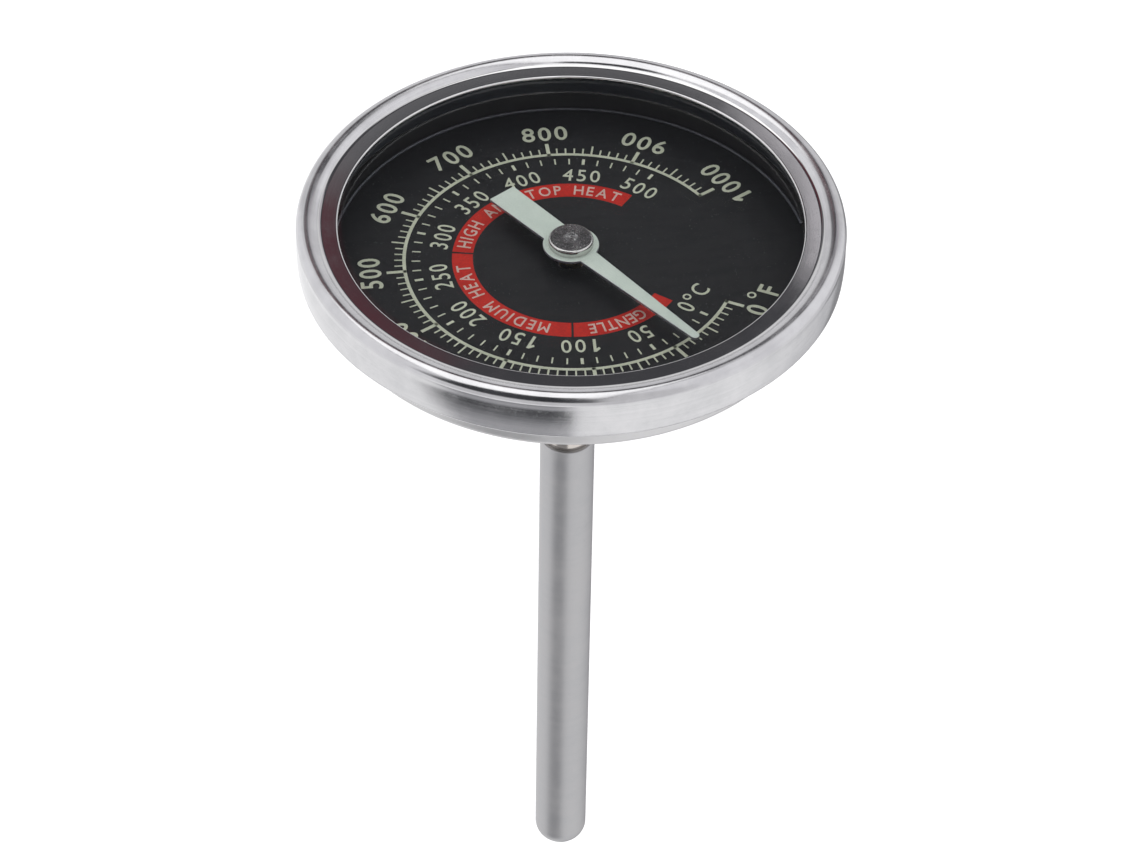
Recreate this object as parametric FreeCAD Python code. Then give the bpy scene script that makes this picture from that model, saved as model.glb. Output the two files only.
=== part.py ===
import FreeCAD, Part
import math
import os

# Dial thermometer with a long plain stem: millimetres, +Z out of the dial, dial twelve o'clock towards +Y.
# Heights are drawn from the outside of the case back. The finished pieces are raised so that the origin is
# the centre of the neck flange's lower face, which is what seats on a lid.
# Driving dimensions.
BEZEL_R = 38.0            # a 3 inch dial
BEZEL_BOTTOM_Z = 5.2
LIP_Z = 11.25             # flat ring round the window
LIP_R = 32.2
SHEET = 0.5               # rolled stainless sheet of the bezel
FOOT_R = 34.85            # flat ring ends, rolled rim begins
CREST_R = 36.5            # top of the rolled rim; outside it the rim rounds down to the wall
CREST_H = 0.7             # how far the rim stands above the flat ring

CASE_R = 34.2
CASE_WALL = 0.45
CASE_CORNER_R = 1.0
FLANGE_R = 37.3
FLANGE_T = 0.45

GLASS_R = 37.0
GLASS_T = 2.0
STACK_GAP = 0.05          # float left between stacked pieces

DIAL_TOP_Z = 3.2
DIAL_R = 33.3
DIAL_T = 0.5
DIAL_HOLE_R = 2.3

POINTER_TOP_Z = 5.9
POINTER_T = 0.4
POINTER_HUB_R = 3.9
NEEDLE_TIP_R = 25.9
NEEDLE_ROOT_HALF = 1.6
NEEDLE_TIP_HALF = 0.62
TAIL_R = 14.7
TAIL_ROOT_HALF = 2.05
TAIL_END_HALF = 2.2
POINTER_REST_DEG = 213.8  # about +Z from +X: 87 F on a scale that turns 0.3 degrees per F

CAP_R = 3.13
CAP_H = 1.1
CAP_RIM_R = 0.35
CAP_ROOF_T = 0.4
DIMPLE_R = 0.6
DIMPLE_DEPTH = 0.25

HUB_BARREL_R = 1.3
HUB_FLANGE_R = 2.2
HUB_FLANGE_T = 0.4
HUB_BELOW_POINTER = 0.9

STEM_R = 3.95
STEM_BORE_R = 3.5
STEM_TOP_Z = -29.05
STEM_TIP_Z = -114.55
STEM_TIP_CORNER_R = 3.1
STEM_END_T = 0.8
STEM_BEAD_R = 0.45        # rounding of the stem's top edge
STEM_MOUTH_L = 1.0        # rolled-in mouth that grips the neck

NECK_R = 3.4
NECK_BORE_R = 1.6
NECK_SPIGOT_L = 8.0
NECK_THREAD_R = 4.0
NECK_THREAD_TOP_Z = 2.2
NECK_FLANGE_R = 6.5
NECK_FLANGE_T = 1.5
NECK_EASE = 0.35
SEAL_T = 0.8
SEAL_INSET = 0.4
WASHER_OVERHANG = 0.5
WASHER_T = 0.3
NUT_CORNER_R = 6.2
NUT_T = 1.3

SPINDLE_R = 0.6
RUNNING_FIT = 0.04        # radial clearance of the spindle in its guides
PUSH_FIT = 0.03           # radial clearance of fixed pieces, one in another
PRESS_FIT = 0.02          # radial clearance of pieces pressed on the spindle
GUIDE_L = 4.0             # length of the two neck bearings
STEM_GUIDE_L = 1.5
STEM_GUIDE_ABOVE_HELIX = 5.0
THRUST_COLLAR_R = 1.5
THRUST_COLLAR_L = 0.98
THRUST_PLAY = 0.12

HELIX_R = 2.5
HELIX_PITCH = 2.5
HELIX_TURNS = 16
HELIX_STRIP_W = 1.7
HELIX_STRIP_T = 0.3
HELIX_TOP_Z = -67.0
ANCHOR_L = 2.0
COLLAR_OVERHANG = 0.3
COLLAR_L = 2.0
COLLAR_ABOVE_HELIX = 0.4
SPINDLE_BELOW_HELIX = 0.6

SUPPORT_INNER_R = 24.0    # pressed channel under the dial
SUPPORT_OUTER_R = 29.0
SUPPORT_WALL = 0.4
SNAP_WIRE_R = 0.22
SNAP_CLEARANCE = 0.15
SNAP_OPENING_DEG = 12
GLASS_EASE = 0.25
GASKET_OVERHANG = 0.2
HEM_CLEARANCE = 0.6       # from the case wall to the crimped hem

UP = FreeCAD.Vector(0, 0, 1)
CENTRE = FreeCAD.Vector(0, 0, 0)

flange_z = BEZEL_BOTTOM_Z + SHEET + STACK_GAP
flange_top_z = flange_z + FLANGE_T
glass_top_z = LIP_Z - SHEET - STACK_GAP
glass_bottom_z = glass_top_z - GLASS_T
case_bore_r = CASE_R - CASE_WALL
neck_flange_z = -SEAL_T - NECK_FLANGE_T
cap_top_z = POINTER_TOP_Z + CAP_H
pointer_low_z = POINTER_TOP_Z - POINTER_T
helix_low_z = HELIX_TOP_Z - HELIX_TURNS * HELIX_PITCH - HELIX_STRIP_W
neck_hole_r = NECK_THREAD_R + PUSH_FIT * 2
stem_guide_z = HELIX_TOP_Z + STEM_GUIDE_ABOVE_HELIX


def point(r, z):
    """A point of a turned profile, at radius r and height z."""
    return FreeCAD.Vector(r, 0, z)


def line(a, b):
    return Part.LineSegment(point(*a), point(*b)).toShape()


def arc(a, mid, b):
    return Part.Arc(point(*a), point(*mid), point(*b)).toShape()


def corner_arc(centre, radius, start_deg, end_deg):
    """Start, middle and end of an arc about centre, for arc()."""
    spots = []
    for angle in (start_deg, (start_deg + end_deg) / 2, end_deg):
        turn = math.radians(angle)
        spots.append((centre[0] + radius * math.cos(turn), centre[1] + radius * math.sin(turn)))
    return spots


def turned(edges):
    """The solid that a closed profile sweeps round the Z axis."""
    face = Part.Face(Part.Wire(Part.__sortEdges__(edges)))
    solid = face.revolve(CENTRE, UP, 360)
    return solid if solid.Volume > 0 else solid.reversed()


def turned_polygon(points):
    closed = points + points[:1]
    return turned([line(a, b) for a, b in zip(closed, closed[1:])])


def ring(inner_r, outer_r, low_z, high_z):
    """A plain ring, or a disc where inner_r is 0."""
    solid = Part.makeCylinder(outer_r, high_z - low_z, point(0, low_z), UP)
    if inner_r > 0:
        solid = solid.cut(Part.makeCylinder(inner_r, high_z - low_z, point(0, low_z), UP))
    return solid


def rounded(solid, radius, height, edge_r):
    """Rounds the circular edges that lie at a height and have a radius of edge_r."""
    chosen = []
    for edge in solid.Edges:
        if isinstance(edge.Curve, Part.Circle):
            centre = edge.Curve.Center
            if abs(centre.z - height) < 1e-6 and abs(edge.Curve.Radius - edge_r) < 1e-6:
                chosen.append(edge)
    return solid.makeFillet(radius, chosen)


def bezel_ring():
    """Rolled sheet: lip and flat ring round the window, rounded rim, wall and crimped hem."""
    crest_z = LIP_Z + CREST_H
    shoulder_r = BEZEL_R - CREST_R
    rise_w = CREST_R - FOOT_R
    rise_r = (rise_w ** 2 + CREST_H ** 2) / (2 * CREST_H)
    rise_deg = math.degrees(math.asin(rise_w / rise_r))
    rise = corner_arc((CREST_R, crest_z - rise_r), rise_r, 90 + rise_deg, 90)
    shoulder = corner_arc((CREST_R, crest_z - shoulder_r), shoulder_r, 90, 0)
    lip = corner_arc((LIP_R + SHEET / 2, LIP_Z - SHEET / 2), SHEET / 2, 270, 90)
    inner_wall_r = BEZEL_R - SHEET
    hem_r = CASE_R + HEM_CLEARANCE
    hem_z = BEZEL_BOTTOM_Z + SHEET
    ceiling_z = LIP_Z - SHEET
    edges = [
        arc(*lip),
        line(lip[2], rise[0]),
        arc(*rise),
        arc(*shoulder),
        line(shoulder[2], (BEZEL_R, BEZEL_BOTTOM_Z)),
        line((BEZEL_R, BEZEL_BOTTOM_Z), (hem_r, BEZEL_BOTTOM_Z)),
        line((hem_r, BEZEL_BOTTOM_Z), (hem_r, hem_z)),
        line((hem_r, hem_z), (inner_wall_r, hem_z)),
        line((inner_wall_r, hem_z), (inner_wall_r, ceiling_z)),
        line((inner_wall_r, ceiling_z), lip[0]),
    ]
    return turned(edges)


def rear_case():
    """Pressed cup with a hole for the neck and a flange that the bezel is crimped round."""
    cup = corner_arc((CASE_R - CASE_CORNER_R, CASE_CORNER_R), CASE_CORNER_R, 270, 360)
    inner_corner_r = CASE_CORNER_R - CASE_WALL
    inside = corner_arc((CASE_R - CASE_CORNER_R, CASE_CORNER_R), inner_corner_r, 270, 360)
    edges = [
        line((neck_hole_r, 0), cup[0]),
        arc(*cup),
        line(cup[2], (CASE_R, flange_z)),
        line((CASE_R, flange_z), (FLANGE_R, flange_z)),
        line((FLANGE_R, flange_z), (FLANGE_R, flange_top_z)),
        line((FLANGE_R, flange_top_z), (case_bore_r, flange_top_z)),
        line((case_bore_r, flange_top_z), inside[2]),
        arc(*inside),
        line(inside[0], (neck_hole_r, CASE_WALL)),
        line((neck_hole_r, CASE_WALL), (neck_hole_r, 0)),
    ]
    return turned(edges)


def glass_lens():
    """Flat window with eased edges."""
    lens = ring(0, GLASS_R, glass_bottom_z, glass_top_z)
    lens = rounded(lens, GLASS_EASE, glass_bottom_z, GLASS_R)
    return rounded(lens, GLASS_EASE, glass_top_z, GLASS_R)


def lens_gasket():
    """Square-section rubber ring between the case flange and the glass."""
    return ring(case_bore_r, GLASS_R + GASKET_OVERHANG, flange_top_z, glass_bottom_z)


def dial_plate():
    return ring(DIAL_HOLE_R, DIAL_R, DIAL_TOP_Z - DIAL_T, DIAL_TOP_Z)


def dial_support_ring():
    """Pressed channel between the case floor and the dial."""
    inner_r = SUPPORT_INNER_R
    outer_r = SUPPORT_OUTER_R
    low_z = CASE_WALL
    high_z = DIAL_TOP_Z - DIAL_T
    ceiling_z = high_z - SUPPORT_WALL
    points = [
        (inner_r, low_z), (inner_r + SUPPORT_WALL, low_z), (inner_r + SUPPORT_WALL, ceiling_z),
        (outer_r - SUPPORT_WALL, ceiling_z), (outer_r - SUPPORT_WALL, low_z), (outer_r, low_z),
        (outer_r, high_z), (inner_r, high_z),
    ]
    return turned_polygon(points)


def dial_retaining_ring():
    """Open wire ring that snaps into the case on top of the dial."""
    ring_r = case_bore_r - SNAP_WIRE_R - SNAP_CLEARANCE
    circle = Part.makeCircle(SNAP_WIRE_R, point(ring_r, DIAL_TOP_Z + SNAP_WIRE_R), FreeCAD.Vector(0, 1, 0))
    wire = Part.Face(Part.Wire([circle])).revolve(CENTRE, UP, 360 - SNAP_OPENING_DEG)
    wire.rotate(CENTRE, UP, -90 + SNAP_OPENING_DEG / 2)
    return wire


def neck_fitting():
    """Plated turned neck: threaded stub in the case, flange, long shank, spigot in the stem."""
    spigot_r = STEM_BORE_R - PUSH_FIT
    spigot_z = STEM_TOP_Z - NECK_SPIGOT_L
    shoulder_z = STEM_TOP_Z - STEM_MOUTH_L
    ease = NECK_EASE
    points = [
        (NECK_BORE_R, spigot_z), (spigot_r - ease, spigot_z), (spigot_r, spigot_z + ease),
        (spigot_r, shoulder_z - 2 * STACK_GAP), (NECK_R, shoulder_z - STACK_GAP),
        (NECK_R, neck_flange_z - ease), (NECK_R + ease, neck_flange_z),
        (NECK_FLANGE_R - ease, neck_flange_z), (NECK_FLANGE_R, neck_flange_z + ease),
        (NECK_FLANGE_R, -SEAL_T), (NECK_THREAD_R, -SEAL_T),
        (NECK_THREAD_R, NECK_THREAD_TOP_Z - ease), (NECK_THREAD_R - ease, NECK_THREAD_TOP_Z),
        (NECK_BORE_R, NECK_THREAD_TOP_Z),
    ]
    return turned_polygon(points)


def case_seal():
    """Flat fibre washer between the neck flange and the case back."""
    return ring(neck_hole_r, NECK_FLANGE_R - SEAL_INSET, -SEAL_T, 0)


def neck_washer():
    return ring(neck_hole_r, NECK_FLANGE_R + WASHER_OVERHANG, CASE_WALL, CASE_WALL + WASHER_T)


def neck_nut():
    """Thin hexagon nut on the threaded stub."""
    low_z = CASE_WALL + WASHER_T
    corners = []
    for side in range(7):
        turn = math.radians(60 * side)
        corners.append(FreeCAD.Vector(math.cos(turn), math.sin(turn), 0) * NUT_CORNER_R + UP * low_z)
    nut = Part.Face(Part.makePolygon(corners)).extrude(UP * NUT_T)
    return nut.cut(ring(0, NECK_THREAD_R + PUSH_FIT, low_z, low_z + NUT_T))


def stem_tube():
    """Deep-drawn tube, closed and rounded at the tip, rolled in to the neck at the top."""
    wall = STEM_R - STEM_BORE_R
    tip_centre = (STEM_R - STEM_TIP_CORNER_R, STEM_TIP_Z + STEM_TIP_CORNER_R)
    outside = corner_arc(tip_centre, STEM_TIP_CORNER_R, 270, 360)
    floor_z = STEM_TIP_Z + STEM_END_T
    inner_corner_r = STEM_TIP_CORNER_R - wall
    inner_centre = (STEM_BORE_R - inner_corner_r, floor_z + inner_corner_r)
    inside = corner_arc(inner_centre, inner_corner_r, 270, 360)
    bead = corner_arc((STEM_R - STEM_BEAD_R, STEM_TOP_Z - STEM_BEAD_R), STEM_BEAD_R, 0, 90)
    mouth_r = NECK_R + PUSH_FIT
    mouth_z = STEM_TOP_Z - STEM_MOUTH_L
    edges = [
        line((0, STEM_TIP_Z), outside[0]),
        arc(*outside),
        line(outside[2], bead[0]),
        arc(*bead),
        line(bead[2], (mouth_r, STEM_TOP_Z)),
        line((mouth_r, STEM_TOP_Z), (mouth_r, mouth_z)),
        line((mouth_r, mouth_z), (STEM_BORE_R, mouth_z)),
        line((STEM_BORE_R, mouth_z), inside[2]),
        arc(*inside),
        line(inside[0], (0, floor_z)),
        line((0, floor_z), (0, STEM_TIP_Z)),
    ]
    return turned(edges)


def spindle_guide(outer_r, low_z, length):
    """Brass guide in which the spindle runs."""
    return ring(SPINDLE_R + RUNNING_FIT, outer_r, low_z, low_z + length)


def upper_bearing():
    return spindle_guide(NECK_BORE_R - PUSH_FIT, NECK_THREAD_TOP_Z - GUIDE_L, GUIDE_L)


def lower_bearing():
    return spindle_guide(NECK_BORE_R - PUSH_FIT, STEM_TOP_Z - NECK_SPIGOT_L, GUIDE_L)


def stem_guide():
    return spindle_guide(STEM_BORE_R - PUSH_FIT, stem_guide_z, STEM_GUIDE_L)


def helix_anchor():
    """Plug at the bottom of the stem that holds the lower end of the coil."""
    return ring(0, STEM_BORE_R - PUSH_FIT, helix_low_z - ANCHOR_L, helix_low_z)


def bimetal_helix():
    """Strip of two bonded metals wound into a coil; its free end turns as it warms."""
    spine = Part.makeHelix(HELIX_PITCH, HELIX_TURNS * HELIX_PITCH, HELIX_R)
    half_t = HELIX_STRIP_T / 2
    half_w = HELIX_STRIP_W / 2
    corners = [
        point(HELIX_R - half_t, -half_w), point(HELIX_R + half_t, -half_w),
        point(HELIX_R + half_t, half_w), point(HELIX_R - half_t, half_w),
    ]
    section = Part.makePolygon(corners + corners[:1])
    coil = Part.Wire(spine).makePipeShell([section], True, True)
    coil.translate(UP * (helix_low_z + half_w))
    return coil


def helix_collar():
    """Collar on the spindle that the upper end of the coil drives."""
    low_z = HELIX_TOP_Z + COLLAR_ABOVE_HELIX
    return ring(SPINDLE_R + PRESS_FIT, HELIX_R + COLLAR_OVERHANG, low_z, low_z + COLLAR_L)


def spindle():
    return ring(0, SPINDLE_R, HELIX_TOP_Z - SPINDLE_BELOW_HELIX, cap_top_z - CAP_ROOF_T - STACK_GAP)


def thrust_collar():
    """Stops the spindle from dropping; it runs just above the upper bearing."""
    low_z = NECK_THREAD_TOP_Z + THRUST_PLAY
    return ring(SPINDLE_R + PRESS_FIT, THRUST_COLLAR_R, low_z, low_z + THRUST_COLLAR_L)


def pointer_hub():
    """Brass bush that carries the pointer."""
    flange = ring(SPINDLE_R + PRESS_FIT, HUB_FLANGE_R, pointer_low_z - HUB_FLANGE_T, pointer_low_z)
    barrel = ring(SPINDLE_R + PRESS_FIT, HUB_BARREL_R, pointer_low_z - HUB_BELOW_POINTER, POINTER_TOP_Z)
    return flange.fuse(barrel).removeSplitter()


def flat_spot(x, y):
    """A point on the pointer's lower face, with the needle drawn along +X."""
    return FreeCAD.Vector(x, y, pointer_low_z)


def pointer():
    """Stamped pointer: round centre, tapered needle, broad tail, turned to its rest angle."""
    tip_centre_x = NEEDLE_TIP_R - NEEDLE_TIP_HALF
    root_low = flat_spot(0, -NEEDLE_ROOT_HALF)
    root_high = flat_spot(0, NEEDLE_ROOT_HALF)
    tip_low = flat_spot(tip_centre_x, -NEEDLE_TIP_HALF)
    tip_high = flat_spot(tip_centre_x, NEEDLE_TIP_HALF)
    needle_edges = [
        Part.LineSegment(root_low, tip_low).toShape(),
        Part.Arc(tip_low, flat_spot(NEEDLE_TIP_R, 0), tip_high).toShape(),
        Part.LineSegment(tip_high, root_high).toShape(),
        Part.LineSegment(root_high, root_low).toShape(),
    ]
    tail_corners = [
        flat_spot(0, -TAIL_ROOT_HALF), flat_spot(0, TAIL_ROOT_HALF),
        flat_spot(-TAIL_R, TAIL_END_HALF), flat_spot(-TAIL_R, -TAIL_END_HALF),
    ]
    needle = Part.Face(Part.Wire(needle_edges)).extrude(UP * POINTER_T)
    tail = Part.Face(Part.makePolygon(tail_corners + tail_corners[:1])).extrude(UP * POINTER_T)
    disc = ring(0, POINTER_HUB_R, pointer_low_z, POINTER_TOP_Z)
    blank = disc.fuse([needle, tail]).removeSplitter()
    blank = blank.cut(ring(0, HUB_BARREL_R + PRESS_FIT, pointer_low_z, POINTER_TOP_Z))
    blank.rotate(CENTRE, UP, POINTER_REST_DEG)
    return blank


def pointer_cap():
    """Polished cap pressed on the spindle, with a rounded rim and a staked dimple."""
    cap = rounded(ring(0, CAP_R, POINTER_TOP_Z, cap_top_z), CAP_RIM_R, cap_top_z, CAP_R)
    bore = ring(0, SPINDLE_R + PRESS_FIT, POINTER_TOP_Z, cap_top_z - CAP_ROOF_T)
    dimple = Part.makeCone(0, DIMPLE_R, DIMPLE_DEPTH, point(0, cap_top_z - DIMPLE_DEPTH), UP)
    return cap.cut(bore).cut(dimple)


NODES = (
    rear_case, bezel_ring, glass_lens, lens_gasket,
    dial_plate, dial_support_ring, dial_retaining_ring,
    neck_fitting, case_seal, neck_washer, neck_nut,
    stem_tube, upper_bearing, lower_bearing, stem_guide,
    helix_anchor, bimetal_helix, helix_collar,
    spindle, thrust_collar, pointer_hub, pointer, pointer_cap,
)

os.makedirs("parts", exist_ok=True)
for make in NODES:
    shape = make()
    shape.translate(UP * -neck_flange_z)
    shape.exportStep("parts/" + make.__name__ + ".step")
    print(make.__name__, round(shape.Volume, 2), len(shape.Solids), shape.isValid())
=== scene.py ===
"""Looks of the dial thermometer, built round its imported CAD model: metres, in the model's own frame.

Profiles and print are written in millimetres and scaled by MM. Heights come from the CAD nodes' boxes.
"""

import math

import bpy
from mathutils import Matrix, Vector


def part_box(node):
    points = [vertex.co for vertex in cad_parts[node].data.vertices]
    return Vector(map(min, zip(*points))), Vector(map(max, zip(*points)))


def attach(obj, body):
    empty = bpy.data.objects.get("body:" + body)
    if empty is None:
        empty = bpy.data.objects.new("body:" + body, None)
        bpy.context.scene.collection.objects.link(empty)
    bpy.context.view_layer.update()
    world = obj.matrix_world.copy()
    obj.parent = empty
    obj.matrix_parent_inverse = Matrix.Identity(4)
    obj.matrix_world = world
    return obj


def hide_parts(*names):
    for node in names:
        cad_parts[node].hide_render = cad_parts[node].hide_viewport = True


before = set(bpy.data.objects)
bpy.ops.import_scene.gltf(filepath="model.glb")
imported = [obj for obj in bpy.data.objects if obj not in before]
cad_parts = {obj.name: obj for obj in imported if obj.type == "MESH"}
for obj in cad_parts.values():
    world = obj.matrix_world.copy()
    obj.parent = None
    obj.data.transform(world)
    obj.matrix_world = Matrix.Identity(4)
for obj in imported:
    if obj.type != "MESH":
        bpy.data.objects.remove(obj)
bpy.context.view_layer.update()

MM = 0.001
TURN_STEPS = 256                 # segments round the axis of a turned piece
ARC_STEP_DEG = 7                 # turn of an outline's arc per point
SUPPORT = 0.05                   # distance from a corner of the extra loop that keeps a flat run flat

RIGHT_DEG = -98.49               # the direction in the dial plane that runs to the picture's right
CAMERA_ELEVATION = 42.446
CAMERA_ROLL = -1.076
CAMERA_DISTANCE = 558.87 * MM
CAMERA_DROP = 28.67 * MM         # the picture's centre is this far below the window's centre
CAMERA_LEFT = 0.19 * MM          # and this far to the left of it
CAMERA_LENS = 128.04

FLOOR_GAP = 0.16                 # clear height under the stem's tip
FLOOR_HALF = 3.0                 # half the floor's side
FLOOR_GLOW = 0.35


def node_box(name):
    """Lowest and highest corner of a CAD node, in millimetres."""
    low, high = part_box(name)
    return low / MM, high / MM


# ---------------------------------------------------------------- driving sizes, from the CAD

bezel_low, bezel_high = node_box("bezel_ring")
case_low, case_high = node_box("rear_case")
_, dial_high = node_box("dial_plate")
gasket_low, gasket_high = node_box("lens_gasket")
neck_low, neck_high = node_box("neck_fitting")
stem_low, stem_high = node_box("stem_tube")
pointer_low, pointer_high = node_box("pointer")
cap_low, cap_high = node_box("pointer_cap")
seal_low, _ = node_box("case_seal")

BEZEL_R = bezel_high.x
CREST_H = 0.7                    # the rolled rim above the flat ring
LIP_Z = bezel_high.z - CREST_H
LIP_R = 32.2
FOOT_R = 34.85                   # the flat ring ends and the rolled rim begins
CREST_R = 36.5
SHEET = 0.5
CASE_R = 34.2
CASE_WALL = 0.45
STEM_R = stem_high.x
STEM_BORE_R = 3.5
STEM_MOUTH_L = 1.0               # the rolled-in mouth that grips the neck
NECK_R = 3.4
NECK_BORE_R = 1.6
NECK_THREAD_R = 4.0
CAP_R = cap_high.x
DIAL_Z = dial_high.z

PRINT_T = 0.012                  # thickness of the printed ink
COPY_STEP = 0.003                # rise of each shifted copy that thickens a character
REST_DEG = 213.8                 # where the needle points at rest


# ---------------------------------------------------------------- node graphs

class Graph:
    """Short names for building a material's or a world's nodes."""

    def __init__(self, tree):
        self.nodes = tree.nodes
        self.links = tree.links

    def add(self, kind, inputs=None, **settings):
        node = self.nodes.new(kind)
        for key, value in settings.items():
            setattr(node, key, value)
        for key, value in (inputs or {}).items():
            self.put(node.inputs[key], value)
        return node

    def put(self, socket, value):
        """Links a socket to another, or sets it to a plain value."""
        if isinstance(value, bpy.types.NodeSocket):
            self.links.new(value, socket)
        else:
            socket.default_value = value

    def math(self, operation, a, b=0.0, clamp=False):
        return self.add("ShaderNodeMath", {0: a, 1: b}, operation=operation, use_clamp=clamp).outputs[0]

    def ease(self, value, start, end, low=0.0, high=1.0):
        """A smooth step from low to high as value goes from start to end."""
        inputs = {"Value": value, "From Min": start, "From Max": end, "To Min": low, "To Max": high}
        return self.add("ShaderNodeMapRange", inputs, interpolation_type="SMOOTHSTEP").outputs[0]

    def window(self, value, start, end, soft):
        """1 between start and end, falling smoothly to 0 over soft on each side."""
        rise = self.ease(value, start - soft, start)
        fall = self.ease(value, end, end + soft, 1.0, 0.0)
        return self.math("MULTIPLY", rise, fall)

    def mix(self, share, a, b):
        """Colour mix. A share of 0 gives a."""
        node = self.add("ShaderNodeMix", data_type="RGBA")
        self.put(node.inputs[0], share)
        self.put(node.inputs[6], a)
        self.put(node.inputs[7], b)
        return node.outputs[2]

    def noise(self, vector, scale, detail=3.0, rough=0.55):
        inputs = {"Vector": vector, "Scale": scale, "Detail": detail, "Roughness": rough}
        return self.add("ShaderNodeTexNoise", inputs).outputs["Fac"]

    def bump(self, height, strength, distance):
        inputs = {"Height": height, "Strength": strength, "Distance": distance * MM}
        return self.add("ShaderNodeBump", inputs).outputs[0]

    def place(self):
        """The point's place in the object's own frame."""
        return self.add("ShaderNodeTexCoord").outputs["Object"]

    def stretched(self, vector, x, y, z):
        return self.add("ShaderNodeVectorMath", {0: vector, 1: (x, y, z)}, operation="MULTIPLY").outputs[0]


def new_material(name, **sockets):
    """An empty Principled material, its graph and its shader. Plain values go straight to the sockets."""
    material = bpy.data.materials.new(name)
    material.use_nodes = True
    graph = Graph(material.node_tree)
    shader = graph.nodes["Principled BSDF"]
    for key, value in sockets.items():
        shader.inputs[key.replace("_", " ")].default_value = value
    return material, graph, shader


def turned_place(graph, along, across):
    """Coordinates in which noise becomes fine lines that run round the Z axis."""
    place = graph.place()
    split = graph.add("ShaderNodeSeparateXYZ", {0: place})
    x, y, z = split.outputs
    flat = graph.add("ShaderNodeCombineXYZ", {0: x, 1: y, 2: 0.0}).outputs[0]
    radius = graph.add("ShaderNodeVectorMath", {0: flat}, operation="LENGTH").outputs["Value"]
    depth = graph.math("MULTIPLY", graph.math("ADD", radius, z), across / MM)
    slow = graph.stretched(place, along / MM, along / MM, 0.0)
    fast = graph.add("ShaderNodeCombineXYZ", {0: 0.0, 1: 0.0, 2: depth}).outputs[0]
    return graph.add("ShaderNodeVectorMath", {0: slow, 1: fast}, operation="ADD").outputs[0]


def turned_steel(name, dark, light, smooth, rough, line_bump, anisotropic, line_scale=9.0, worn=0.0):
    """Spun or drawn steel: faint lines round the axis, cloudy gloss, stray scratches and a fine grain.

    worn strengthens the scratches and the grain. smooth and rough are the ends of the gloss.
    """
    material, graph, shader = new_material(name, Metallic=1.0, Anisotropic=anisotropic)
    place = graph.place()
    lines = graph.noise(turned_place(graph, 0.05, line_scale), 1.0, detail=2.0)
    clouds = graph.noise(place, 160.0, detail=5.0, rough=0.65)
    grain = graph.noise(place, 4200.0, detail=2.0)
    scratch_place = graph.add(
        "ShaderNodeMapping", {"Vector": place, "Rotation": (0.4, 0.3, 0.9)}).outputs[0]
    stray = graph.noise(graph.stretched(scratch_place, 260.0, 9000.0, 5200.0), 1.0, detail=1.0)
    other = graph.noise(graph.stretched(scratch_place, 5200.0, 9000.0, 300.0), 1.0, detail=1.0)
    scratches = graph.math("MAXIMUM", graph.ease(stray, 0.68, 0.78), graph.ease(other, 0.70, 0.80))
    tone = graph.math("ADD", graph.math("MULTIPLY", lines, 0.25), graph.math("MULTIPLY", clouds, 0.75))
    graph.put(shader.inputs["Base Color"], graph.mix(graph.ease(tone, 0.3, 0.7), dark, light))
    marks = graph.math("MULTIPLY", scratches, 0.25 + worn)
    gloss = graph.ease(graph.math("ADD", tone, marks), 0.3, 0.8, smooth, rough)
    graph.put(shader.inputs["Roughness"], gloss)
    ridges = graph.math("MULTIPLY", lines, 0.4)
    grooves = graph.math("MULTIPLY", scratches, 0.5 + worn)
    sand = graph.math("MULTIPLY", grain, 0.5 + worn)
    height = graph.math("ADD", graph.math("SUBTRACT", ridges, grooves), sand)
    graph.put(shader.inputs["Normal"], graph.bump(height, line_bump, 0.01))
    tangent = graph.add("ShaderNodeTangent", direction_type="RADIAL", axis="Z").outputs[0]
    graph.put(shader.inputs["Tangent"], tangent)
    return material


def speckled(name, dark, light, scale, smooth, rough, bump, grain, **sockets):
    """A plain surface with fine uneven tone, gloss and relief."""
    material, graph, shader = new_material(name, **sockets)
    fine = graph.noise(graph.place(), scale, detail=5.0, rough=0.65)
    broad = graph.noise(graph.place(), scale / 12, detail=2.0)
    tone = graph.math("ADD", graph.math("MULTIPLY", fine, 0.6), graph.math("MULTIPLY", broad, 0.4))
    share = graph.ease(tone, 0.35, 0.65)
    graph.put(shader.inputs["Base Color"], graph.mix(share, dark, light))
    graph.put(shader.inputs["Roughness"], graph.ease(fine, 0.3, 0.7, smooth, rough))
    graph.put(shader.inputs["Normal"], graph.bump(fine, bump, grain))
    return material


def dial_enamel():
    """Satin black enamel with faint dust."""
    material, graph, shader = new_material("dial_enamel", Roughness=0.5, Specular_IOR_Level=0.28)
    place = graph.place()
    motes = graph.ease(graph.noise(place, 3200.0, detail=2.0), 0.64, 0.74)
    haze = graph.noise(place, 70.0)
    smear = graph.noise(graph.stretched(place, 500.0, 150.0, 1.0), 1.0)
    base = graph.mix(haze, (0.0045, 0.0048, 0.0060, 1), (0.0075, 0.0078, 0.0098, 1))
    dusty = graph.math("MULTIPLY", motes, graph.ease(smear, 0.42, 0.68, 0.05, 0.6))
    graph.put(shader.inputs["Base Color"], graph.mix(dusty, base, (0.12, 0.125, 0.13, 1)))
    graph.put(shader.inputs["Roughness"], graph.ease(smear, 0.3, 0.7, 0.38, 0.55))
    graph.put(shader.inputs["Normal"], graph.bump(graph.noise(place, 5000.0, detail=2.0), 0.08, 0.01))
    return material


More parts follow.
